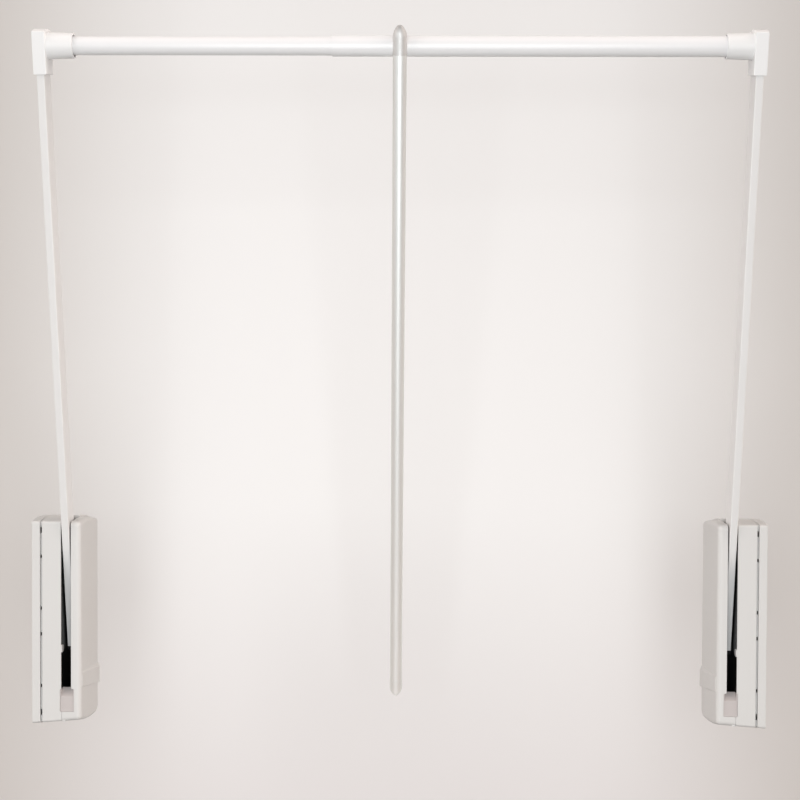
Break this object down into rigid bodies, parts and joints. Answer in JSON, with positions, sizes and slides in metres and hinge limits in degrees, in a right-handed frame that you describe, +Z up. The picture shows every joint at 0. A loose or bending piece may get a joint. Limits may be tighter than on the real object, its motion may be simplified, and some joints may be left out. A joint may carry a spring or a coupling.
{
  "type": "pull-down closet rod",
  "caption": "Wardrobe lift: spring housings on both side panels carry arms with a telescopic hanging rail and a pull rod, and swing down to the front.",
  "frame": {"origin": "centre of the left base plate's screw pattern, on the face of the left side panel", "axes": "+X along the rail from the left panel to the right panel, -Y the front of the wardrobe, +Z up"},
  "size_m": [0.9, 0.2957, 0.8372],
  "materials": {
    "white_moulding": "fine satin texture",
    "grey_pad": "matt",
    "black_steel": "black semi-matt",
    "bright_steel": "ground",
    "spring_steel": "oiled dark",
    "natural_nylon": "natural",
    "zinc_screw": "bright zinc plated",
    "white_powder_coat": "satin powder coat",
    "black_moulding": "matt",
    "grey_moulding": "fine grain, silver grey",
    "satin_aluminium": "satin anodised"
  },
  "bodies": {
    "left_housing": {"left_base_plate": "white_moulding", "left_outer_shell": "white_moulding", "left_inner_shell": "white_moulding", "left_chassis": "black_steel", "left_slot_pad": "grey_pad", "left_pivot_axle": "bright_steel", "left_hub_bush": "black_moulding", "left_guide_rod": "bright_steel", "left_lift_spring": "spring_steel", "left_damper_cylinder": "black_steel", "left_shell_screws": "zinc_screw"},
    "left_frame": {"left_arm_hub": "black_steel", "left_toothed_sector": "natural_nylon", "left_arm": "white_powder_coat", "left_arm_rivets": "zinc_screw", "left_elbow": "white_moulding", "left_elbow_screw": "zinc_screw", "thin_rail_tube": "white_powder_coat", "tube_adapter": "black_moulding", "thin_tube_plug": "black_moulding"},
    "right_frame": {"right_arm_hub": "black_steel", "right_toothed_sector": "natural_nylon", "right_arm": "white_powder_coat", "right_arm_rivets": "zinc_screw", "right_elbow": "white_moulding", "right_elbow_screw": "zinc_screw", "thick_rail_tube": "white_powder_coat", "thick_tube_adapter": "black_moulding"},
    "right_housing": {"right_base_plate": "white_moulding", "right_outer_shell": "white_moulding", "right_inner_shell": "white_moulding", "right_chassis": "black_steel", "right_slot_pad": "grey_pad", "right_pivot_axle": "bright_steel", "right_hub_bush": "black_moulding", "right_guide_rod": "bright_steel", "right_lift_spring": "spring_steel", "right_damper_cylinder": "black_steel", "right_shell_screws": "zinc_screw"},
    "left_rack": {"left_rack_carriage": "natural_nylon", "left_damper_rod": "bright_steel"},
    "right_rack": {"right_rack_carriage": "natural_nylon", "right_damper_rod": "bright_steel"},
    "handle": {"handle_head": "grey_moulding", "handle_clip": "grey_moulding", "handle_tube": "satin_aluminium", "handle_end_cap": "grey_moulding"}
  },
  "joints": [
    {"name": "lift", "type": "hinge", "parent": "left_housing", "child": "left_frame", "pos_m": [0.0418, -0.0064, -0.0375], "axis": [1, 0, 0], "range_deg": [0, 120], "stiffness_Nm_per_rad": 12, "springref_deg": -68.75},
    {"name": "width_adjust", "type": "slide", "parent": "left_frame", "child": "right_frame", "axis": [1, 0, 0], "range_m": [-0.13, 0.18]},
    {"name": "right_pivot", "type": "hinge", "parent": "right_frame", "child": "right_housing", "pos_m": [0.8582, -0.0064, -0.0375], "axis": [1, 0, 0], "range_deg": [-120, 0]},
    {"name": "handle_swing", "type": "hinge", "parent": "right_frame", "child": "handle", "pos_m": [0.451, -0.15242, 0.6802], "axis": [-1, 0, 0], "range_deg": [-20, 130]},
    {"name": "left_rack_slide", "type": "slide", "parent": "left_housing", "child": "left_rack", "axis": [0, 0, 1], "range_m": [0, 0.0336], "deforming": ["left_lift_spring"]},
    {"name": "right_rack_slide", "type": "slide", "parent": "right_housing", "child": "right_rack", "axis": [0, 0, 1], "range_m": [0, 0.0336], "deforming": ["right_lift_spring"]}
  ],
  "couplings": [
    {"joint": "right_pivot", "follows": "lift", "ratio": -1},
    {"joint": "left_rack_slide", "follows": "lift", "m_per_rad": 0.016},
    {"joint": "right_rack_slide", "follows": "lift", "m_per_rad": 0.016}
  ]
}
